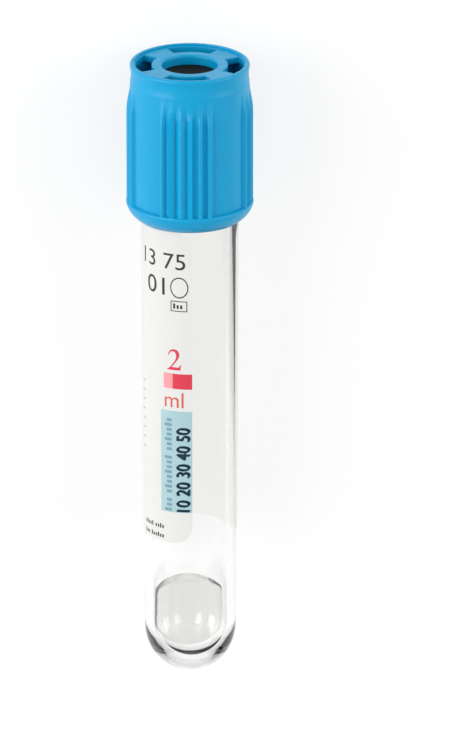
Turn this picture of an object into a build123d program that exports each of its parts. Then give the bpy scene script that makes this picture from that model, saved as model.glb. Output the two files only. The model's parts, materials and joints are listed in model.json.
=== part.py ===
"""A capped blood collection tube, 13 by 75 mm, which holds a little citrate for a 2 ml sample.

Every piece is drawn round one upright axis, +Z towards the cap, with z = 0 at the outside of
the tube's round end. Angles round the axis are counted from +X towards +Y. The whole tube is
then laid down on its side, as it comes to rest, with the side at -90 degrees on top.
Sizes are in millimetres and angles in degrees.
"""

from build123d import *
from math import acos, asin, atan2, cos, degrees, hypot, radians, sin, tan
import os

os.makedirs("parts", exist_ok=True)

# ------------------------------------------------------------------ driving dimensions

# tube: clear moulded plastic with a round end, straight at first and then wider up to its mouth
tube_length = 75.0
mouth_radius = 6.3
base_radius = 6.0
straight_end = 19.0  # the stretch from the round end to here sits in racks and holders
wall = 1.15
dome_height = 6.8  # the round end is a little longer outside than a half ball
dome_shoulder = 9.0  # radius of the arc between the wall and the nose of the round end
rim_round = 0.35

# cap: a moulded hood over the stopper and the top of the tube
skirt_clearance = 0.85  # between the tube's mouth and the cap's inside
collar_clearance = 0.35  # between the tube's mouth and the collar that guides it
cap_wall = 0.6  # between the ribs
rib_height = 0.52
collar_reach = 0.55  # how far the collar stands out from the cap's body
cap_rise = 9.0  # from the tube's rim to the top of the cap
cap_height = 21.15
top_reach = 0.05  # how far the top edge stands out from the cap's body
top_round = 0.35
waist_depth = 0.09
waist_drop = 1.4
neck_drop = 2.5  # the ribs grow out of the neck from here
shoulder_drop = 6.6  # and stand full from here down
collar_height = 2.15  # up to where the collar is widest
collar_round = 3.0
collar_turn = 11.5  # angle at which the round lower edge meets the lip
lip_round = 0.25
ledge_slope = 20.0

# ribs and slots of the cap, in groups that line up with each other
groups = 4
ribs_in_group = 6
rib_pitch = 9.2
rib_width = 0.64
rib_root = 0.4  # how far a rib reaches into the cap's body
pattern_turn = -13.0
slot_span = 56.0
slot_margin = 0.05  # from the outer edge of a slot to the cap's inside
slot_corner = 0.35

# top and inside of the cap
deck_drop = 0.3
rim_wall = 0.6
deck_thickness = 0.85
port_radius = 3.6
port_depth = 1.3
port_round = 0.35
ring_wall = 0.63  # round the stopper's head
web_thickness = 1.1
bead_height = 0.6
bead_reach = 0.55

# stopper: rubber
head_radius = 4.3
flange_clearance = 0.2  # between the flange and the cap's inside
flange_height = 3.8
flange_round = 0.4
plug_length = 7.0
plug_clearance = 0.03
seal_rings = 2
ring_height = 1.3
ring_gap = 0.9
ring_relief = 0.28
tip_taper = 0.5
dish_radius = 2.9
dish_depth = 0.3
hollow_radius = 2.6
hollow_depth = 4.2
seat_clearance = 0.02  # between the stopper and the cap that holds it

# label: a film with rounded corners, which leaves a clear window beside it
label_top = 62.6
label_height = 43.1
label_start = -26.5
label_wrap = 290.0
label_thickness = 0.1
label_corner = 2.4
adhesive = 0.02

# citrate: the drop of additive, which lies in the lowest part of the round end
pool_length = 10.6
pool_depth = 3.8
pool_front_radius = 9.0
pool_edge_round = 1.2
wetting_gap = 0.02

# ------------------------------------------------------------------ what follows from them

bore_base_radius = base_radius - wall
draft = (mouth_radius - base_radius) / (tube_length - straight_end)
nose_radius = (
    dome_shoulder**2 - (dome_shoulder - base_radius) ** 2 - dome_height**2
) / (2 * (dome_shoulder - dome_height))

skirt_bore = mouth_radius + skirt_clearance
collar_bore = mouth_radius + collar_clearance
body_radius = skirt_bore + cap_wall
rib_radius = body_radius + rib_height
collar_radius = body_radius + collar_reach
top_radius = body_radius + top_reach
waist_radius = body_radius - waist_depth
rim_bore = top_radius - rim_wall
slot_radius = skirt_bore - slot_margin
ring_radius = head_radius + seat_clearance + ring_wall
flange_radius = skirt_bore - flange_clearance

cap_top = tube_length + cap_rise
skirt_end = cap_top - cap_height
deck_top = cap_top - deck_drop
deck_underside = deck_top - deck_thickness
head_top = deck_top - port_depth
flange_top = tube_length + flange_height
ring_end = flange_top + seat_clearance

# The collar's lip is a small arc that runs on into the large arc of its lower edge. Above the lip
# a sloping ledge leads in to the cap's body.
lip_r = collar_radius - lip_round
lip_z = skirt_end + collar_height
turn_down = radians(collar_turn)
ledge_up = radians(90 - ledge_slope)
edge_r = lip_r - (collar_round - lip_round) * cos(turn_down)
edge_z = lip_z + (collar_round - lip_round) * sin(turn_down)
ledge_r = lip_r + lip_round * cos(ledge_up)
ledge_z = lip_z + lip_round * sin(ledge_up)
collar_top = ledge_z + (ledge_r - body_radius) * tan(radians(ledge_slope))

# Lying down, the collar's lip and the shoulder of the round end both touch the floor.
rise = lip_z - dome_height
spread = lip_r - base_radius + dome_shoulder
lean = acos((dome_shoulder - lip_round) / hypot(spread, rise)) - atan2(rise, spread)
axis_height = (base_radius - dome_shoulder) * cos(lean) + dome_shoulder - dome_height * sin(lean)
cap_end = (cap_top - top_round) * cos(lean) + (top_radius - top_round) * sin(lean) + top_round
dome_end = nose_radius * (cos(lean) - 1)
lying = Location((0, -(cap_end + dome_end) / 2, axis_height), (degrees(lean) - 90, 0, 0))


def bore_radius(z):
    """Radius of the tube's bore at a height."""
    return bore_base_radius + draft * max(z - straight_end, 0)


# ------------------------------------------------------------------ shapes that pieces share


def turned(*outline):
    """A solid of revolution, from the closed outline of half its section in radius and height."""
    return revolve(make_face(Plane.XZ * (Curve() + list(outline))), Axis.Z)


def stacked(*corners):
    """A solid of revolution whose half section is straight lines between (radius, height) corners."""
    return turned(Polyline(*corners, close=True))


def disc(radius, low, high):
    """A plain cylinder round the axis between two heights."""
    return Pos(0, 0, low) * extrude(Circle(radius), high - low)


def circles(solid, radius):
    """The solid's round edges of a radius, lowest first."""
    round_edges = solid.edges().filter_by(GeomType.CIRCLE)
    return round_edges.filter_by(lambda edge: abs(edge.radius - radius) < 1e-6).sort_by(Axis.Z)


# ------------------------------------------------------------------ pieces


def make_tube():
    joint = degrees(atan2(nose_radius - dome_height, dome_shoulder - base_radius))
    nose = CenterArc((0, nose_radius), nose_radius, -90, joint + 90)
    shoulder = CenterArc((base_radius - dome_shoulder, dome_height), dome_shoulder, joint, -joint)
    inside = CenterArc((0, dome_height), bore_base_radius, -90, 90)
    shell = turned(
        nose,
        shoulder,
        Polyline(
            shoulder @ 1,
            (base_radius, straight_end),
            (mouth_radius, tube_length),
            (mouth_radius - wall, tube_length),
            (bore_base_radius, straight_end),
            inside @ 1,
        ),
        inside,
        Line(inside @ 0, nose @ 0),
    )
    rim = shell.faces().sort_by(Axis.Z)[-1]
    return fillet(rim.edges(), rim_round)


def make_label():
    low = label_top - label_height
    middle = label_top - label_height / 2
    near_low = bore_radius(low) + wall + adhesive
    near_top = bore_radius(label_top) + wall + adhesive
    section = Polyline(
        (near_low, low),
        (near_low + label_thickness, low),
        (near_top + label_thickness, label_top),
        (near_top, label_top),
        close=True,
    )
    film = revolve(make_face(Plane.XZ * section), Axis.Z, label_wrap)
    film = Rot(0, 0, -label_wrap / 2) * film
    # what a rounded corner lacks, drawn square to the film and pushed out through it
    spandrel = Pos(label_corner, label_corner) * Rectangle(2 * label_corner, 2 * label_corner)
    spandrel -= Circle(label_corner)
    turn = label_wrap / 2 - degrees(asin(label_corner / near_low))
    face_on = Rot(0, 0, turn) * Plane(
        (near_low / 2, 0, label_top - label_corner), x_dir=(0, 1, 0), z_dir=(1, 0, 0)
    ).location
    corner = face_on * extrude(spandrel, near_low)
    corners = [corner, mirror(corner, Plane.XZ)]
    corners += [mirror(each, Plane.XY.offset(middle)) for each in corners]
    return Rot(0, 0, label_start + label_wrap / 2) * (film - corners)


def make_citrate():
    wet_radius = bore_base_radius - wetting_gap
    brim = 2 * dome_height
    inside = CenterArc((0, dome_height), wet_radius, -90, 90)
    filled = turned(
        inside,
        Polyline(inside @ 1, (wet_radius, brim), (0, brim), inside @ 0),
    )
    up = (0, -cos(lean), sin(lean))
    surface = Plane((0, wet_radius - pool_depth, dome_height), x_dir=(1, 0, 0), z_dir=up)
    front = Pos(Y=pool_length - wet_radius - pool_front_radius) * (
        Circle(pool_front_radius)
        + Pos(Y=-pool_front_radius) * Rectangle(2 * pool_front_radius, 2 * pool_front_radius)
    )
    drop = extrude(surface * front, -2 * base_radius)
    brow = drop.faces().sort_by(Axis.Y)[0].edges().filter_by(GeomType.CIRCLE)
    return filled & fillet(brow, pool_edge_round)


def make_stopper():
    tip = tube_length - plug_length
    crest = bore_radius(tip) - plug_clearance
    groove = crest - ring_relief
    stopper = stacked(
        (0, tip),
        (groove - tip_taper, tip),
        (groove, tube_length - seal_rings * (ring_height + ring_gap)),
        (groove, tube_length),
        (flange_radius, tube_length),
        (flange_radius, flange_top),
        (head_radius, flange_top),
        (head_radius, head_top),
        (0, head_top),
    )
    stopper = fillet(circles(stopper, flange_radius), flange_round)
    for ring in range(seal_rings):
        high = tube_length - ring_gap - ring * (ring_height + ring_gap)
        low = high - ring_height
        stopper += turned(
            ThreePointArc((groove, low), (crest, (low + high) / 2), (groove, high)),
            Polyline((groove, high), (groove / 2, high), (groove / 2, low), (groove, low)),
        )
    dish_ball = (dish_radius**2 + dish_depth**2) / (2 * dish_depth)
    stopper -= Pos(0, 0, head_top - dish_depth + dish_ball) * Sphere(dish_ball)
    hollow = disc(hollow_radius, tip, tip + hollow_depth)
    return stopper - fillet(circles(hollow, hollow_radius)[-1], hollow_radius * 0.8)


def cap_outside():
    """The cap's outside without its ribs, solid all through."""
    top_edge = CenterArc((top_radius - top_round, cap_top - top_round), top_round, 90, -90)
    waist = ThreePointArc(
        top_edge @ 1,
        (waist_radius, cap_top - waist_drop),
        (body_radius, cap_top - neck_drop),
    )
    lip = CenterArc((lip_r, lip_z), lip_round, 90 - ledge_slope, ledge_slope - 90 - collar_turn)
    foot = degrees(asin((edge_z - skirt_end) / collar_round))
    collar_edge = CenterArc((edge_r, edge_z), collar_round, -collar_turn, collar_turn - foot)
    return turned(
        top_edge,
        waist,
        Polyline(waist @ 1, (body_radius, collar_top), lip @ 0),
        lip,
        collar_edge,
        Polyline(collar_edge @ 1, (0, skirt_end), (0, cap_top), top_edge @ 0),
    )


def cap_ribs():
    """Round-backed ribs that run out into the neck along a sloping arc."""
    back = rib_radius - rib_width / 2
    root = body_radius - rib_root
    rib = Circle(rib_width / 2) + Pos(X=(root - back) / 2) * Rectangle(back - root, rib_width)
    span = (ribs_in_group - 1) * rib_pitch
    section = Sketch()
    for group in range(groups):
        start = pattern_turn + group * 360 / groups - span / 2
        section += PolarLocations(back, ribs_in_group, start, span, endpoint=True) * rib
    low = lip_z - lip_round / 2
    high = cap_top - neck_drop
    run_out = TangentArc(
        (rib_radius, cap_top - shoulder_drop), (body_radius - rib_root / 4, high), tangent=(0, 1)
    )
    envelope = turned(
        Polyline((0, low), (rib_radius, low), run_out @ 0),
        run_out,
        Polyline(run_out @ 1, (0, high), (0, low)),
    )
    return envelope & (Pos(0, 0, low) * extrude(section, high - low))


def cap_slots():
    """The slots in the deck between its ring and the rim."""
    half = radians(slot_span / 2)
    far = 2 * skirt_bore
    wedge = Polyline(
        (0, 0), (far * cos(half), -far * sin(half)), (far * cos(half), far * sin(half)), close=True
    )
    slot = make_face(wedge) & (Circle(slot_radius) - Circle(ring_radius))
    slot = fillet(slot.vertices(), slot_corner)
    slots = Sketch() + PolarLocations(0, groups, pattern_turn) * slot
    return Pos(0, 0, deck_underside) * extrude(slots, deck_thickness)


def cap_inside():
    """The space under the deck, round the ring and the webs that press on the stopper."""
    guide_top = lip_z
    bead_top = tube_length - seat_clearance
    bead_low = bead_top - bead_height
    bead_radius = skirt_bore - bead_reach
    space = stacked(
        (0, skirt_end),
        (collar_bore, skirt_end),
        (collar_bore, guide_top),
        (skirt_bore, guide_top + skirt_bore - collar_bore),
        (skirt_bore, bead_low - bead_reach),
        (bead_radius, bead_low),
        (bead_radius, bead_top),
        (skirt_bore, bead_top),
        (skirt_bore, deck_underside),
        (0, deck_underside),
    )
    space -= disc(ring_radius, ring_end, deck_underside)
    web = Pos(head_radius, 0, ring_end) * Box(
        skirt_bore, web_thickness, deck_underside - ring_end, align=(Align.MIN, Align.CENTER, Align.MIN)
    )
    for place in PolarLocations(0, groups, pattern_turn + 180 / groups):
        space -= place * web
    return space


def make_cap():
    cap = cap_outside() - cap_inside() - cap_slots()
    cap -= disc(rim_bore, deck_top, cap_top)
    cap -= disc(head_radius + seat_clearance, ring_end, head_top)
    cap -= disc(port_radius, ring_end, cap_top)
    cap += cap_ribs()
    return fillet(circles(cap, port_radius)[-1], port_round)


pieces = {
    "tube": make_tube,
    "label": make_label,
    "citrate": make_citrate,
    "stopper": make_stopper,
    "cap": make_cap,
}

for name, make in pieces.items():
    export_step(lying * make(), f"parts/{name}.step")
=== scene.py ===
"""A capped 13 by 75 mm blood collection tube, lying on a white table under soft light.

Every piece is shaped upright round the Z axis, in metres, with z = 0 at the outside of the
tube's round end and the upper side of the lying tube towards -Y. It is then laid down.
"""

import json
import math

import bpy
from mathutils import Matrix, Vector


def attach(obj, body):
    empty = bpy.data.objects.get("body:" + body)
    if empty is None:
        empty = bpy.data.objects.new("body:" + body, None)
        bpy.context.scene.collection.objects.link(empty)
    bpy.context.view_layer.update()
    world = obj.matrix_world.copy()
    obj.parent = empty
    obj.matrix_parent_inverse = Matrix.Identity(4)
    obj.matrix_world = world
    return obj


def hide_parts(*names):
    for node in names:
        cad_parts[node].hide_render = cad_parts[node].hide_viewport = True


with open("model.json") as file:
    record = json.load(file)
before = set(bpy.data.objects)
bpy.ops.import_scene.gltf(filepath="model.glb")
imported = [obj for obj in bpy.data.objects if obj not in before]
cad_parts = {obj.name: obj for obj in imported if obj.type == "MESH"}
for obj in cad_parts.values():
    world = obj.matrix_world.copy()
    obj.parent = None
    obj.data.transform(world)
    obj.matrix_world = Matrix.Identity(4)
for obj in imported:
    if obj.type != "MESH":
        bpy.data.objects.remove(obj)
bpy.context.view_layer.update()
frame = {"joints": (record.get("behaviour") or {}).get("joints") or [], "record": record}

mm = 0.001

# ---------------------------------------------------------------- how the tube lies
# The tube leans a little, from its round end up to its wider cap. The axis comes from the joint
# that pulls the cap off, and a point on it from the round port in the cap's top.
pull = Vector(frame["joints"][0]["axis"])
port = next(m for m in frame["record"]["mounts"] if m["name"] == "needle_port")
port_middle = 83.05 * mm
lean = math.atan2(pull.z, pull.y)
laid = (
    Matrix.Translation(port["pos_m"])
    @ Matrix.Rotation(lean - math.pi / 2, 4, "X")
    @ Matrix.Translation((0, 0, -port_middle))
)

# ---------------------------------------------------------------- camera
# A long lens looks down on the lying tube, from the cap's side and a little from the left.
view_turn = math.radians(-9.5)
view_tilt = math.radians(20.2) - lean
view_point = 42.14 * mm
view_side = 5.8 * mm
distance = 2.4
frame_height = 95.21 * mm
sensor_height = 36

camera = bpy.data.objects.new("camera", bpy.data.cameras.new("camera"))
bpy.context.scene.collection.objects.link(camera)
bpy.context.scene.camera = camera
camera.data.sensor_fit = "VERTICAL"
camera.data.sensor_height = sensor_height
camera.data.lens = sensor_height * distance / frame_height
camera.data.clip_start = 0.1
camera.data.clip_end = 20
camera.matrix_world = (
    Matrix.Translation(laid @ Vector((0, 0, view_point)))
    @ Matrix.Rotation(view_turn, 4, pull)
    @ Matrix.Rotation(-view_tilt, 4, "X")
    @ Matrix.Translation((view_side, 0, distance))
)

# ---------------------------------------------------------------- studio
# A white table and surround, with a soft lamp of the same power on each side. A black card beyond
# the round end only darkens the glass: the camera doesn't see it, and it throws no shadow.
surround_strength = 0.68
table_size, table_white, table_glow = 6, 0.9, 0.72
lamp_power = 3.2
card_width, card_height = 60 * mm, 13.2 * mm
card_place = (-6 * mm, -56 * mm, 7 * mm)


def seen_rays(tree):
    """1 for rays from the camera or through something clear, and 0 for all others."""
    path = tree.nodes.new("ShaderNodeLightPath")
    either = tree.nodes.new("ShaderNodeMath")
    either.operation = "MAXIMUM"
    tree.links.new(path.outputs["Is Camera Ray"], either.inputs[0])
    tree.links.new(path.outputs["Is Transmission Ray"], either.inputs[1])
    return either.outputs[0]


def share_of(tree, rays, share):
    """Scale a factor for some rays down to a share."""
    scaled = tree.nodes.new("ShaderNodeMath")
    scaled.operation = "MULTIPLY"
    scaled.inputs[1].default_value = share
    tree.links.new(rays, scaled.inputs[0])
    return scaled.outputs[0]


def mixed(tree, factor, first, second):
    """Mix two shader nodes by a factor, which is a number or another node's output."""
    mix = tree.nodes.new("ShaderNodeMixShader")
    if isinstance(factor, float):
        mix.inputs["Fac"].default_value = factor
    else:
        tree.links.new(factor, mix.inputs["Fac"])
    tree.links.new(first.outputs[0], mix.inputs[1])
    tree.links.new(second.outputs[0], mix.inputs[2])
    return mix


def opaque(name, rough, gloss, colour=(0.8, 0.8, 0.8)):
    """A finish that no light goes through: its roughness, how much it mirrors and its colour."""
    material = bpy.data.materials.new(name)
    material.use_nodes = True
    body = material.node_tree.nodes["Principled BSDF"]
    body.inputs["Base Color"].default_value = (*colour, 1)
    body.inputs["Roughness"].default_value = rough
    body.inputs["Specular IOR Level"].default_value = gloss
    return material


def soft_lamp(name, angle, along, away, size):
    """A square lamp that faces the tube from an angle off upright, positive to the right."""
    lamp = bpy.data.objects.new(name, bpy.data.lights.new(name, "AREA"))
    bpy.context.scene.collection.objects.link(lamp)
    turn = math.radians(angle)
    lamp.location = (away * math.sin(turn), along, away * math.cos(turn))
    lamp.rotation_euler = (-lamp.location).to_track_quat("-Z", "Y").to_euler()
    lamp.data.size = size
    lamp.data.energy = lamp_power


bpy.context.scene.view_settings.view_transform = "Standard"
world = bpy.data.worlds.new("studio")
bpy.context.scene.world = world
world.use_nodes = True
tree = world.node_tree
surround = tree.nodes["Background"]
surround.inputs["Color"].default_value = (1, 1, 1, 1)
surround.inputs["Strength"].default_value = surround_strength
seen = tree.nodes.new("ShaderNodeBackground")
seen.inputs["Color"].default_value = (1, 1, 1, 1)
backdrop = mixed(tree, seen_rays(tree), surround, seen)
tree.links.new(backdrop.outputs[0], tree.nodes["World Output"].inputs["Surface"])

bpy.ops.object.select_all(action="DESELECT")
bpy.ops.mesh.primitive_plane_add(size=table_size)
table = bpy.context.object
table.name = "table"
table_top = opaque("table_top", rough=0.9, gloss=0.0, colour=(table_white,) * 3)
tree = table_top.node_tree
glow = tree.nodes.new("ShaderNodeEmission")
glowing = share_of(tree, seen_rays(tree), table_glow)
top = mixed(tree, glowing, tree.nodes["Principled BSDF"], glow)
tree.links.new(top.outputs[0], tree.nodes["Material Output"].inputs["Surface"])
table.data.materials.append(table_top)

soft_lamp("left_lamp", angle=-62, along=0.15, away=0.6, size=0.5)
soft_lamp("right_lamp", angle=58, along=0.2, away=0.8, size=0.6)

bpy.ops.object.select_all(action="DESELECT")
bpy.ops.mesh.primitive_plane_add(
    size=card_width, location=card_place, rotation=(math.pi / 2, 0, 0)
)
card = bpy.context.object
card.scale = (1, card_height / card_width, 1)
bpy.ops.object.transform_apply(location=True, rotation=True, scale=True)
card.name = "dark_card"
card.visible_camera = False
card.visible_diffuse = False
card.visible_shadow = False
card.data.materials.append(opaque("dark_card", rough=0.5, gloss=0.0, colour=(0.01,) * 3))

# ---------------------------------------------------------------- tube
# Clear PET, moulded in one piece, with a round end and a slight widening to its mouth. The wall
# is even along the sides and thicker in the round end.
mouth_radius, base_radius, wall = 6.3, 6.0, 1.15
tube_length, straight_end, dome_height = 75.0, 19.0, 6.8
shoulder_radius, rim_round = 9.0, 0.35
bore, mouth_bore = base_radius - wall, mouth_radius - wall
nose_radius = (shoulder_radius**2 - (shoulder_radius - base_radius) ** 2 - dome_height**2) / (
    2 * (shoulder_radius - dome_height)
)
nose_end = math.degrees(
    math.atan2(nose_radius - dome_height, shoulder_radius - base_radius)
)
pet_tint, pet_ior = (0.985, 0.99, 0.985, 1), 1.57


def take(piece):
    """Select one piece alone, and make it the active one."""
    bpy.ops.object.select_all(action="DESELECT")
    piece.select_set(True)
    bpy.context.view_layer.objects.active = piece


def lone_point(name, place):
    """Start a piece as a single point, in edit mode and ready to be extruded."""
    bpy.ops.object.select_all(action="DESELECT")
    bpy.ops.mesh.primitive_plane_add(size=mm)
    piece = bpy.context.object
    piece.name = piece.data.name = name
    bpy.ops.object.mode_set(mode="EDIT")
    bpy.ops.mesh.select_all(action="SELECT")
    bpy.ops.mesh.merge(type="CENTER")
    bpy.ops.transform.translate(value=place)
    return piece


def extrude(step):
    """Extrude what is selected by a step."""
    bpy.ops.mesh.extrude_region_move(TRANSFORM_OT_translate={"value": step})


def turned(name, start, *strokes, spins=((360, 192),)):
    """Draw half a section from a point, in mm of radius and height, and spin it round.

    A stroke is a point to draw a line to, or an arc: its centre, its angle and its segments.
    """
    radius, height = start
    piece = lone_point(name, (radius * mm, 0, height * mm))
    for stroke in strokes:
        if len(stroke) == 2:
            extrude(((stroke[0] - radius) * mm, 0, (stroke[1] - height) * mm))
            radius, height = stroke
        else:
            middle, level, sweep, segments = stroke
            bpy.ops.mesh.spin(
                steps=segments,
                angle=math.radians(sweep),
                center=(middle * mm, 0, level * mm),
                axis=(0, 1, 0),
            )
            spoke = Matrix.Rotation(math.radians(sweep), 2) @ Vector(
                (radius - middle, height - level)
            )
            radius, height = middle + spoke.x, level + spoke.y
    bpy.ops.mesh.select_all(action="SELECT")
    for sweep, steps in spins:
        bpy.ops.mesh.spin(
            steps=steps, angle=math.radians(sweep), center=(0, 0, 0), axis=(0, 0, -1)
        )
    bpy.ops.mesh.select_all(action="SELECT")
    bpy.ops.mesh.remove_doubles(threshold=0.001 * mm)
    bpy.ops.mesh.normals_make_consistent(inside=False)
    bpy.ops.object.mode_set(mode="OBJECT")
    return piece


def lay(piece, sharp=35):
    """Lay an upright piece down on the table and smooth all but its sharp edges."""
    take(piece)
    bpy.ops.object.shade_smooth_by_angle(angle=math.radians(sharp))
    piece.data.transform(laid)
    piece.data.update()


def clear(name, tint, ior):
    """A see-through material that lets the lamps shine through without a hard shadow."""
    material = bpy.data.materials.new(name)
    material.use_nodes = True
    tree = material.node_tree
    body = tree.nodes["Principled BSDF"]
    body.inputs["Base Color"].default_value = tint
    body.inputs["Roughness"].default_value = 0.0
    body.inputs["IOR"].default_value = ior
    body.inputs["Transmission Weight"].default_value = 1.0
    path = tree.nodes.new("ShaderNodeLightPath")
    through = tree.nodes.new("ShaderNodeBsdfTransparent")
    through.inputs["Color"].default_value = tint
    mix = mixed(tree, path.outputs["Is Shadow Ray"], body, through)
    tree.links.new(mix.outputs[0], tree.nodes["Material Output"].inputs["Surface"])
    return material


tube = turned(
    "clear_tube",
    (0, 0),
    (0, nose_radius, 90 + nose_end, 40),
    (base_radius - shoulder_radius, dome_height, -nose_end, 10),
    (base_radius, straight_end),
    (mouth_radius, tube_length - rim_round),
    (mouth_radius - rim_round, tube_length - rim_round, 90, 6),
    (mouth_bore + rim_round, tube_length),
    (mouth_bore + rim_round, tube_length - rim_round, 90, 6),
    (bore, straight_end),
    (bore, dome_height),
    (0, dome_height, -90, 40),
)
tube.data.materials.append(clear("clear_pet", pet_tint, pet_ior))
lay(tube)
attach(tube, "filled_tube")
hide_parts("tube")

# ---------------------------------------------------------------- label
# A white film with rounded corners, glued round the tube. It stops short of a full turn and
# leaves a clear window between its edges.
label_start, label_wrap, label_radius = -26.5, 290.0, 6.19
label_low, label_top, label_corner = 19.5, 62.6, 2.4
label_film, glue, label_column = 0.1, 0.02, 0.22
label_end = label_start + label_wrap
film_gloss, film_fleck, grain_depth = 0.3, 0.96, 0.02 * mm
# The share of light the film lets through, and the share of painted glow it shows on rays through
# the tube.
let_through, painted_glow_share = 0.6, 0.8


def outer_radius(height):
    """The tube's outside radius at a height, in mm."""
    widening = (mouth_radius - base_radius) / (tube_length - straight_end)
    return base_radius + widening * max(height - straight_end, 0)


def wrap(piece, above, thick, column):
    """Bend a flat piece round the tube, some way above its wall, and give it a thickness.

    It is drawn in the XZ plane, where x = 0 is the label's printed edge and x grows to the right.
    It is first cut into columns, so that it can bend.
    """
    take(piece)
    bpy.ops.object.transform_apply(location=True, rotation=True, scale=True)
    across = [vertex.co.x for vertex in piece.data.vertices]
    cuts = math.ceil((max(across) - min(across)) / (column * mm))
    bpy.ops.object.mode_set(mode="EDIT")
    for cut in range(1, cuts):
        bpy.ops.mesh.select_all(action="SELECT")
        x = min(across) + (max(across) - min(across)) * cut / cuts
        bpy.ops.mesh.bisect(plane_co=(x, 0, 0), plane_no=(1, 0, 0))
    bpy.ops.object.mode_set(mode="OBJECT")
    for vertex in piece.data.vertices:
        angle = math.radians(label_end) + vertex.co.x / (label_radius * mm)
        radius = (outer_radius(vertex.co.z / mm) + above) * mm
        vertex.co = (radius * math.cos(angle), radius * math.sin(angle), vertex.co.z)
    film = piece.modifiers.new("film", "SOLIDIFY")
    film.thickness = thick * mm
    film.offset = 1
    bpy.ops.object.modifier_apply(modifier="film")


def flat_panel(name, left, right, low, high):
    """A flat rectangle in the XZ plane that faces -Y, in mm."""
    bpy.ops.object.select_all(action="DESELECT")
    bpy.ops.mesh.primitive_plane_add(size=mm, rotation=(math.pi / 2, 0, 0))
    panel = bpy.context.object
    panel.name = panel.data.name = name
    panel.scale = (right - left, high - low, 1)
    panel.location = ((left + right) / 2 * mm, 0, (low + high) / 2 * mm)
    bpy.ops.object.transform_apply(location=True, rotation=True, scale=True)
    return panel


# A group of nodes for moulded and printed plastic: two close shades in soft clouds, and a grain.
mottle = bpy.data.node_groups.new("mottle", "ShaderNodeTree")
for shade_name in ("Darker", "Lighter"):
    mottle.interface.new_socket(shade_name, in_out="INPUT", socket_type="NodeSocketColor")
for value_name in ("Scale", "Detail", "Relief"):
    mottle.interface.new_socket(value_name, in_out="INPUT", socket_type="NodeSocketFloat")
mottle.interface.new_socket("Colour", in_out="OUTPUT", socket_type="NodeSocketColor")
mottle.interface.new_socket("Normal", in_out="OUTPUT", socket_type="NodeSocketVector")
given = mottle.nodes.new("NodeGroupInput")
made = mottle.nodes.new("NodeGroupOutput")
place = mottle.nodes.new("ShaderNodeTexCoord")
cloud = mottle.nodes.new("ShaderNodeTexNoise")
shade = mottle.nodes.new("ShaderNodeMix")
shade.data_type = "RGBA"
grain = mottle.nodes.new("ShaderNodeBump")
grain.inputs["Distance"].default_value = grain_depth
for source, target in (
    (place.outputs["Object"], cloud.inputs["Vector"]),
    (given.outputs["Scale"], cloud.inputs["Scale"]),
    (given.outputs["Detail"], cloud.inputs["Detail"]),
    (given.outputs["Darker"], shade.inputs["A"]),
    (given.outputs["Lighter"], shade.inputs["B"]),
    (cloud.outputs["Fac"], shade.inputs["Factor"]),
    (given.outputs["Relief"], grain.inputs["Strength"]),
    (cloud.outputs["Fac"], grain.inputs["Height"]),
    (shade.outputs["Result"], made.inputs["Colour"]),
    (grain.outputs["Normal"], made.inputs["Normal"]),
):
    mottle.links.new(source, target)


def mottled(material, darker, lighter, scale, detail, relief):
    """Place the mottle in a material, with its own shades and grain."""
    tree = material.node_tree
    body = tree.nodes["Principled BSDF"]
    placed = tree.nodes.new("ShaderNodeGroup")
    placed.node_tree = mottle
    placed.inputs["Darker"].default_value = (*darker, 1)
    placed.inputs["Lighter"].default_value = (*lighter, 1)
    placed.inputs["Scale"].default_value = scale
    placed.inputs["Detail"].default_value = detail
    placed.inputs["Relief"].default_value = relief
    tree.links.new(placed.outputs["Colour"], body.inputs["Base Color"])
    tree.links.new(placed.outputs["Normal"], body.inputs["Normal"])


def film_material(name, colour, rough):
    """Printed plastic film: faintly mottled, with a soft gloss."""
    material = opaque(name, rough, film_gloss)
    darker = [film_fleck * part for part in colour]
    mottled(material, darker, colour, scale=900, detail=3, relief=0.15)
    return material


label = flat_panel(
    "wrapped_label", -label_radius * math.radians(label_wrap), 0, label_low, label_top
)
bpy.ops.object.mode_set(mode="EDIT")
bpy.ops.mesh.select_all(action="SELECT")
bpy.ops.mesh.bevel(offset=label_corner * mm, segments=14, affect="VERTICES")
bpy.ops.object.mode_set(mode="OBJECT")
wrap(label, glue, label_film, label_column)

# The film lets light through. On rays that come through the tube it adds a share of painted glow,
# which stands in for the light on its inner side behind the clear window.
white_film = film_material("white_film", (0.81, 0.815, 0.81), rough=0.38)
tree = white_film.node_tree
thin = tree.nodes.new("ShaderNodeBsdfTranslucent")
thin.inputs["Color"].default_value = (0.86, 0.86, 0.85, 1)
glow = tree.nodes.new("ShaderNodeEmission")
glow.inputs["Color"].default_value = (0.95, 0.945, 0.92, 1)
path = tree.nodes.new("ShaderNodeLightPath")
lit = mixed(tree, let_through, tree.nodes["Principled BSDF"], thin)
through_tube = share_of(tree, path.outputs["Is Transmission Ray"], painted_glow_share)
film = mixed(tree, through_tube, lit, glow)
tree.links.new(film.outputs[0], tree.nodes["Material Output"].inputs["Surface"])
label.data.materials.append(white_film)
lay(label)
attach(label, "filled_tube")
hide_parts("label")

# ---------------------------------------------------------------- print
# Flat ink on the label, a few thousandths of a millimetre thick: a volume of 2 ml, a strip with
# plain numbers, a ring, an empty box and rows of small marks. Places are in mm, left from the
# printed edge and up.
ink_above, ink_thick, ink_column = glue + label_film + 0.001, 0.008, 0.3
over_ink = 0.01
ring_points, ring_inside = 48, 0.88
rule_marks, rule_low, rule_step, rule_line = 8, 31.7, 1.3, 0.15


def joined(pieces):
    """Join flat pieces to one."""
    bpy.ops.object.select_all(action="DESELECT")
    for piece in pieces:
        piece.select_set(True)
    bpy.context.view_layer.objects.active = pieces[0]
    if len(pieces) > 1:
        bpy.ops.object.join()
    return pieces[0]


def drawing(name, curve):
    """Put a flat curve or a line of text in the scene."""
    drawn = bpy.data.objects.new(name, curve)
    bpy.context.scene.collection.objects.link(drawn)
    return drawn


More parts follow.
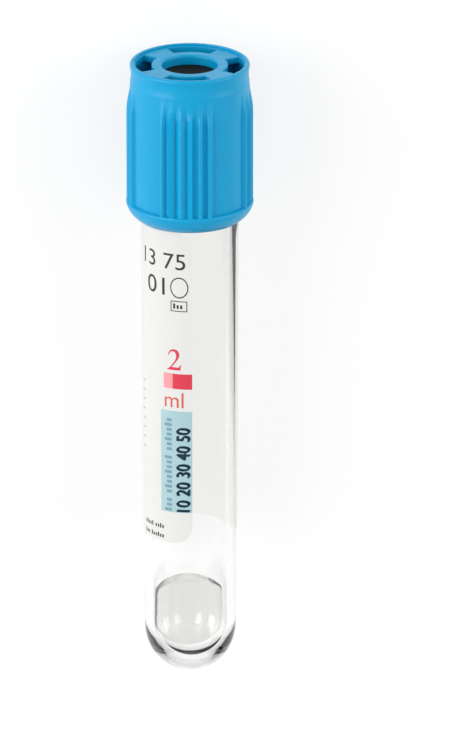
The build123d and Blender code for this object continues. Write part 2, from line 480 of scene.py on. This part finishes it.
def outlined(name, *outlines):
    """A flat area inside closed outlines, where one within another is a hole."""
    curve = bpy.data.curves.new(name, "CURVE")
    curve.dimensions = "2D"
    curve.fill_mode = "BOTH"
    for outline in outlines:
        line = curve.splines.new("POLY")
        line.points.add(len(outline) - 1)
        for point, (x, y) in zip(line.points, outline):
            point.co = (x, y, 0, 1)
        line.use_cyclic_u = True
    return drawing(name, curve)


def fitted(drawn, left, right, low, high, upward=False):
    """Make a flat drawing a mesh and fit it to a box in the XZ plane."""
    take(drawn)
    bpy.ops.object.convert(target="MESH")
    drawn = bpy.context.object
    flat = [(-v.co.y, v.co.x) if upward else (v.co.x, v.co.y) for v in drawn.data.vertices]
    least = [min(point[i] for point in flat) for i in (0, 1)]
    most = [max(point[i] for point in flat) for i in (0, 1)]
    for vertex, point in zip(drawn.data.vertices, flat):
        x = left + (right - left) * (point[0] - least[0]) / (most[0] - least[0])
        z = low + (high - low) * (point[1] - least[1]) / (most[1] - least[1])
        vertex.co = (x * mm, 0, z * mm)
    drawn.data.update()
    return drawn


def letters(text, left, right, low, high, upward=False):
    """Plain lettering that fills a box, along the label's width or up its height."""
    curve = bpy.data.curves.new("letters", "FONT")
    curve.body = text
    return fitted(drawing("letters", curve), left, right, low, high, upward)


def small_row(lengths, left, low, size, upward=False):
    """A row of letter-sized marks in word lengths, along the width or up the height."""
    short, stroke, pitch, space = 0.72 * size, 0.4 * size, 0.66 * size, 0.5 * size
    marks, along = [], 0.0
    for word in lengths:
        for letter in range(word):
            tall = size if (letter * 7 + word) % 3 == 0 else short
            near, far = along, along + stroke
            if upward:
                marks.append(flat_panel("mark", left - tall, left, low + near, low + far))
            else:
                marks.append(flat_panel("mark", left + near, left + far, low, low + tall))
            along += pitch
        along += space
    return marks


def empty_box(left, right, low, high, line):
    """The four sides of a box."""
    return [
        flat_panel("box_low", left, right, low, low + line),
        flat_panel("box_top", left, right, high - line, high),
        flat_panel("box_left", left, left + line, low + line, high - line),
        flat_panel("box_right", right - line, right, low + line, high - line),
    ]


def ink(name, colour, pieces, above=0.0):
    """Lay pieces of one colour of ink on the label."""
    printed = joined(pieces)
    printed.name = printed.data.name = name
    wrap(printed, ink_above + above, ink_thick, ink_column)
    printed.data.materials.clear()
    printed.data.materials.append(film_material(name, colour, rough=0.45))
    lay(printed)
    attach(printed, "filled_tube")


# The volume's figure, drawn along its foot, up its right side and back round its bow.
figure_two = outlined("two", [
    (0.0, 0.0), (0.93, 0.0), (1.0, 0.27), (0.94, 0.27), (0.88, 0.18), (0.80, 0.14), (0.32, 0.14),
    (0.56, 0.34), (0.76, 0.52), (0.86, 0.66), (0.87, 0.78), (0.80, 0.91), (0.66, 0.98),
    (0.48, 1.0), (0.28, 0.97), (0.13, 0.87), (0.04, 0.70), (0.10, 0.69), (0.18, 0.81),
    (0.29, 0.88), (0.42, 0.90), (0.55, 0.86), (0.64, 0.76), (0.65, 0.62), (0.57, 0.47),
    (0.38, 0.28), (0.20, 0.13), (0.0, 0.03),
])
ink("red_ink", (0.62, 0.04, 0.07), [
    fitted(figure_two, -3.35, -1.45, 43.6, 46.5),
    flat_panel("bar", -2.6, -0.03, 41.0, 43.1),
])
# The bar's left end is a lighter pink: a painted highlight, where the lamp's sheen on the film
# washes out the red ink.
ink("red_ink_painted_highlight", (0.75, 0.3, 0.32), [flat_panel("bar", -3.9, -2.6, 41.0, 43.1)])
ink("orange_ink", (0.6, 0.09, 0.06), [letters("ml", -3.75, -1.15, 38.4, 40.5)])
ink("cyan_ink", (0.35, 0.52, 0.55), [flat_panel("strip", -4.35, -0.03, 23.8, 37.9)])

# The numbers on the strip are laid down three times, each a little further over, to be bold.
numbers = [
    letters("10 20 30 40 50", -2.15 + over, -0.4 + over, 23.9 + over, 35.5 + over, upward=True)
    for over in (0.0, 0.08, 0.16)
]
ink("navy_ink", (0.005, 0.03, 0.06), numbers, above=over_ink)
strip_row = small_row((3, 8, 7), -2.75, 23.95, 1.02, upward=True)
ink("slate_ink", (0.16, 0.3, 0.36), strip_row, above=over_ink)
round_ring = outlined("ring", *[
    [
        (
            radius * math.cos(2 * math.pi * step / ring_points),
            radius * math.sin(2 * math.pi * step / ring_points),
        )
        for step in range(ring_points)
    ]
    for radius in (1.0, ring_inside)
])
ink("black_ink", (0.03, 0.03, 0.03), [
    letters("13 75", -7.6, -0.9, 57.5, 59.7),
    fitted(round_ring, -2.9, -0.5, 53.6, 56.5),
    letters("01", -6.7, -3.7, 53.8, 56.2),
    *empty_box(-2.85, -0.65, 51.75, 53.22, 0.12),
    *small_row((3,), -2.5, 52.15, 0.7),
    *small_row((5, 4), -7.7, 21.3, 0.6),
    *small_row((3, 6), -7.7, 20.0, 0.6),
])
rule_lows = [rule_low + rule_step * step for step in range(rule_marks)]
ink("grey_ink", (0.42, 0.43, 0.44), [
    flat_panel("rule", -8.6, -7.6, low, low + rule_line) for low in rule_lows
])

# ---------------------------------------------------------------- stopper
# Black butyl rubber in one piece: a head in the cap's ring, with a shallow dish in its top, a
# flange that is clipped in the cap, and a hollow plug with two sealing rings.
head_radius, head_top, head_round = 4.3, 82.4, 0.2
dish_depth, dish_radius, dish_sweep = 0.3, 14.17, 11.8
flange_radius, flange_top, flange_round = 6.95, 78.8, 0.4
plug_radius, groove_radius, plug_end, seal_levels = 5.08, 4.8, 68.0, (73.45, 71.25)
hollow_radius, hollow_top, hollow_round = 2.6, 72.2, 2.08
plug_taper, plug_edge = 0.5, 0.2
seal_root, seal_shoulder, seal_edge = 0.65, 0.3, plug_radius - 0.12
seal_profile = (
    (seal_root, groove_radius),
    (seal_shoulder, seal_edge),
    (0, plug_radius),
    (-seal_shoulder, seal_edge),
    (-seal_root, groove_radius),
)
stopper = turned(
    "rubber_stopper",
    (0, head_top - dish_depth),
    (0, head_top - dish_depth + dish_radius, dish_sweep, 12),
    (head_radius - head_round, head_top),
    (head_radius - head_round, head_top - head_round, -90, 5),
    (head_radius, flange_top),
    (flange_radius - flange_round, flange_top),
    (flange_radius - flange_round, flange_top - flange_round, -90, 6),
    (flange_radius, tube_length + flange_round),
    (flange_radius - flange_round, tube_length + flange_round, -90, 6),
    (groove_radius, tube_length),
    *[(radius, level + aside) for level in seal_levels for aside, radius in seal_profile],
    (groove_radius - plug_taper, plug_end + plug_edge),
    (groove_radius - plug_taper - plug_edge, plug_end),
    (hollow_radius + plug_edge, plug_end),
    (hollow_radius, plug_end + plug_edge),
    (hollow_radius, hollow_top - hollow_round),
    (hollow_radius - hollow_round, hollow_top - hollow_round, 90, 8),
    (0, hollow_top),
    spins=((360, 128),),
)
rubber = opaque("black_rubber", rough=0.5, gloss=0.12, colour=(0.003, 0.003, 0.0025))
stopper.data.materials.append(rubber)
lay(stopper)
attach(stopper, "closure")
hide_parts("stopper")

# ---------------------------------------------------------------- cap
# Blue polypropylene, moulded in one piece: a hood with four groups of six ribs on a round collar,
# and a deck with four slots round the ring that the needle goes in through. Four webs under the
# deck press on the stopper, and a bead inside holds it.
cap_top, skirt_end, pattern_turn = 84.0, 62.85, -13.0
rim_radius, rim_bore, rim_crest, rim_inner = 7.8, 7.2, 0.35, 0.12
body_radius, skirt_bore, collar_bore = 7.75, 7.15, 6.65
bore_step, bore_end, lip_round = 65.0, 83.6, 0.1
bead_bore, bead_low, bead_top = 6.6, 74.38, 74.98
neck_arc = (12.717, 82.460, 24.544, 12)
collar_edge_arc, collar_belly_arc = (8.05, 65.0, -81.5, 10), (5.3552, 65.5483, -52.58, 16)

# The ribs stand on the body and run out into the neck, where the hood's rows are closer. Its finer
# columns cover a stretch of each quarter that starts at the X axis and isn't in line with the ribs,
# so three ribs of each group stand on the coarser columns.
ribs_full, ribs_out, ribs_low, ribs_foot = 77.4, 81.5, 65.0, 65.375
rib_height, rib_half, rib_pitch, ribs_in_group = 0.52, 0.48, 9.2, 6
rib_arc, rib_power, outer_skin = 7.95, 0.9, 7.4
fade_rows, fade_row, side_rows, side_row = 24, 0.1708, 7, 1.714
ledge_rows, ledge_out, ledge_drop = 5, 0.0771, 0.028
group_span, fine_columns, plain_columns = 55, 110, 14
first_rib = (group_span - (ribs_in_group - 1) * rib_pitch) / 2
group_edge = pattern_turn - group_span / 2

# The deck's outer edge is sunk in the hood. Its slots are flared where they open upwards.
deck_radius, deck_top, deck_foot = 7.3, 83.7, 78.82
ring_radius, pocket_radius, port_radius, port_round = 4.95, 4.32, 3.6, 0.35
slot_span, slot_in, slot_out, slot_low = 56.0, 4.97, 7.05, 82.85
slot_middle, slot_round, flare, flare_rings = 6.0, 0.35, 0.14, 4
cutter_above, cutter_below = 0.1, 0.4
web_in, web_out, web_thick, web_top = 4.6, 7.25, 1.1, 82.9

cap = turned(
    "ribbed_cap",
    (rim_bore + rim_inner, cap_top),
    (rim_radius - rim_crest, cap_top),
    (rim_radius - rim_crest, cap_top - rim_crest, -90, 8),
    neck_arc,
    *[(body_radius, ribs_out - fade_row * row) for row in range(1, fade_rows + 1)],
    *[(body_radius, ribs_full - side_row * row) for row in range(1, side_rows + 1)],
    (body_radius, ribs_foot),
    *[
        (body_radius + ledge_out * row, ribs_foot - ledge_drop * row)
        for row in range(1, ledge_rows + 1)
    ],
    collar_edge_arc,
    collar_belly_arc,
    (collar_bore + lip_round, skirt_end),
    (collar_bore + lip_round, skirt_end + lip_round, -90, 4),
    (collar_bore, bore_step),
    (skirt_bore, bore_step + skirt_bore - collar_bore),
    (skirt_bore, bead_low - skirt_bore + bead_bore),
    (bead_bore, bead_low),
    (bead_bore, bead_top),
    (skirt_bore, bead_top),
    (skirt_bore, bore_end),
    (rim_bore, bore_end + rim_bore - skirt_bore),
    (rim_bore, cap_top - rim_inner),
    (rim_bore + rim_inner, cap_top - rim_inner, -90, 5),
    spins=((group_span, fine_columns), (90 - group_span, plain_columns)) * 4,
)
for vertex in cap.data.vertices:
    x, y, height = vertex.co / mm
    radius = math.hypot(x, y)
    if radius < outer_skin or not ribs_low < height < ribs_out:
        continue
    angle = (math.degrees(math.atan2(y, x)) - group_edge) % 90 - first_rib
    rib = min(max(round(angle / rib_pitch), 0), ribs_in_group - 1)
    aside = math.radians(angle - rib * rib_pitch) * rib_arc
    if abs(aside) >= rib_half:
        continue
    fade = min(1, (ribs_out - height) / (ribs_out - ribs_full))
    rise = rib_height * fade**2 * (3 - 2 * fade)
    rise *= math.cos(math.pi / 2 * aside / rib_half) ** rib_power
    swell = max(1, (body_radius + rise) / radius)
    vertex.co.x *= swell
    vertex.co.y *= swell

deck = turned(
    "deck",
    (deck_radius, deck_top),
    (deck_radius, slot_low),
    (ring_radius, slot_low),
    (ring_radius, deck_foot),
    (pocket_radius, deck_foot),
    (pocket_radius, head_top),
    (port_radius, head_top),
    (port_radius, deck_top - port_round),
    (port_radius + port_round, deck_top - port_round, -90, 8),
    (deck_radius, deck_top),
    spins=((360, 144),),
)


def combine(piece, other, operation):
    """Cut a piece with another or join the other to it, and take the other away."""
    take(piece)
    change = piece.modifiers.new("change", "BOOLEAN")
    change.operation = operation
    change.object = other
    change.solver = "MANIFOLD"
    bpy.ops.object.modifier_apply(modifier="change")
    bpy.data.objects.remove(other)


def without_slivers(piece):
    """Cut a piece that came out of a boolean into triangles, and drop those without any area."""
    take(piece)
    bpy.ops.object.mode_set(mode="EDIT")
    bpy.ops.mesh.select_all(action="SELECT")
    bpy.ops.mesh.remove_doubles(threshold=0.002 * mm)
    bpy.ops.mesh.quads_convert_to_tris(quad_method="BEAUTY", ngon_method="BEAUTY")
    bpy.ops.mesh.dissolve_degenerate(threshold=0.002 * mm)
    bpy.ops.object.mode_set(mode="OBJECT")


def one_finish(piece, material):
    """Give every face of a piece the same material."""
    piece.data.materials.clear()
    for face in piece.data.polygons:
        face.material_index = 0
    piece.data.materials.append(material)


# The cutter of a slot is a flat ring sector with rounded corners, drawn down through the deck. It
# narrows over its first stretch in the deck, and leaves a rounded edge there.
for quarter in range(4):
    middle = math.radians(pattern_turn + 90 * quarter)
    half_span = math.radians(slot_span / 2) + flare / slot_middle
    corners = [
        Vector((radius * math.cos(turn), radius * math.sin(turn), cap_top + cutter_above)) * mm
        for radius in (slot_in - flare, slot_out + flare)
        for turn in (middle - half_span, middle + half_span)
    ]
    cutter = lone_point("slot_cutter", corners[0])
    extrude(corners[2] - corners[0])
    bpy.ops.mesh.select_all(action="SELECT")
    bpy.ops.mesh.spin(steps=28, angle=2 * half_span, center=(0, 0, 0), axis=(0, 0, -1))
    bpy.ops.mesh.select_all(action="SELECT")
    bpy.ops.mesh.dissolve_limited(angle_limit=math.radians(0.2))
    bpy.ops.mesh.select_all(action="DESELECT")
    bpy.ops.object.mode_set(mode="OBJECT")
    for vertex in cutter.data.vertices:
        vertex.select = min((vertex.co - corner).length for corner in corners) < 0.01 * mm
    bpy.ops.object.mode_set(mode="EDIT")
    bpy.ops.mesh.bevel(offset=(slot_round + flare) * mm, segments=6, affect="VERTICES")
    bpy.ops.mesh.select_all(action="SELECT")
    if cutter.data.polygons[0].normal.z > 0:
        bpy.ops.mesh.flip_normals()
    extrude((0, 0, (deck_top - cap_top - cutter_above) * mm))
    for ring in range(flare_rings):
        high = math.pi / 2 * (1 - ring / flare_rings)
        low = math.pi / 2 * (1 - (ring + 1) / flare_rings)
        bpy.ops.mesh.inset(
            thickness=flare * (math.cos(low) - math.cos(high)) * mm,
            depth=flare * (math.sin(high) - math.sin(low)) * mm,
        )
    extrude((0, 0, (slot_low - cutter_below + flare - deck_top) * mm))
    bpy.ops.mesh.select_all(action="SELECT")
    bpy.ops.mesh.normals_make_consistent(inside=False)
    bpy.ops.object.mode_set(mode="OBJECT")
    combine(deck, cutter, "DIFFERENCE")

for quarter in range(4):
    middle = math.radians(pattern_turn + 45 + 90 * quarter)
    out = (web_in + web_out) / 2 * mm
    bpy.ops.object.select_all(action="DESELECT")
    bpy.ops.mesh.primitive_cube_add(size=mm)
    web = bpy.context.object
    web.scale = (web_out - web_in, web_thick, web_top - deck_foot)
    web.location = (
        out * math.cos(middle),
        out * math.sin(middle),
        (web_top + deck_foot) / 2 * mm,
    )
    web.rotation_euler = (0, 0, middle)
    bpy.ops.object.transform_apply(location=True, rotation=True, scale=True)
    combine(deck, web, "UNION")

combine(cap, deck, "UNION")
without_slivers(cap)
polypropylene = opaque("blue_polypropylene", rough=0.34, gloss=0.28)
mottled(
    polypropylene, (0.0, 0.285, 0.53), (0.0, 0.305, 0.56), scale=420, detail=4, relief=0.12
)
one_finish(cap, polypropylene)
lay(cap)
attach(cap, "closure")
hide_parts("cap")

# ---------------------------------------------------------------- citrate
# The drop of clear liquid additive in the round end. Its upper face is level with the table, and
# its rim overlaps the tube's wall a little, so that no gap shows.
pool_length, pool_depth, pool_gap, pool_overlap = 9.6, 3.8, 0.02, 0.03
front_radius, front_depth, brow_round = 14.0, 12.0, 0.5
wet_radius, pool_end = bore + pool_overlap, bore - pool_gap
citrate_tint, citrate_ior = (0.81, 0.81, 0.79, 1), 1.34
citrate = turned(
    "citrate_drop",
    (0, dome_height - wet_radius),
    (0, dome_height, 90, 48),
    (wet_radius, 2 * dome_height),
    (0, 2 * dome_height),
    (0, dome_height - wet_radius),
    spins=((360, 144),),
)

# A drum with a rounded upper edge, stood level in the lying tube, gives the drop its face.
forward = Vector((0, math.sin(lean), math.cos(lean)))
upward = Vector((0, -math.cos(lean), math.sin(lean)))
bpy.ops.object.select_all(action="DESELECT")
bpy.ops.mesh.primitive_cylinder_add(
    vertices=180, radius=front_radius * mm, depth=front_depth * mm
)
front = bpy.context.object
bpy.ops.object.mode_set(mode="EDIT")
bpy.ops.mesh.select_all(action="DESELECT")
bpy.ops.object.mode_set(mode="OBJECT")
for face in front.data.polygons:
    face.select = face.normal.z > 0.9
bpy.ops.object.mode_set(mode="EDIT")
bpy.ops.mesh.select_mode(type="FACE")
bpy.ops.mesh.bevel(offset=brow_round * mm, segments=8, affect="EDGES")
bpy.ops.object.mode_set(mode="OBJECT")
front_middle = Vector((0, pool_end - pool_depth, dome_height)) + forward * (
    pool_length - pool_end - front_radius
)
stand = Matrix((Vector((1, 0, 0)), forward, upward)).transposed().to_4x4()
front.data.transform(
    Matrix.Translation(front_middle * mm)
    @ stand
    @ Matrix.Translation((0, 0, -front_depth / 2 * mm))
)
combine(citrate, front, "INTERSECT")
without_slivers(citrate)
one_finish(citrate, clear("citrate_solution", citrate_tint, citrate_ior))
lay(citrate, 30)
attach(citrate, "filled_tube")
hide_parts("citrate")
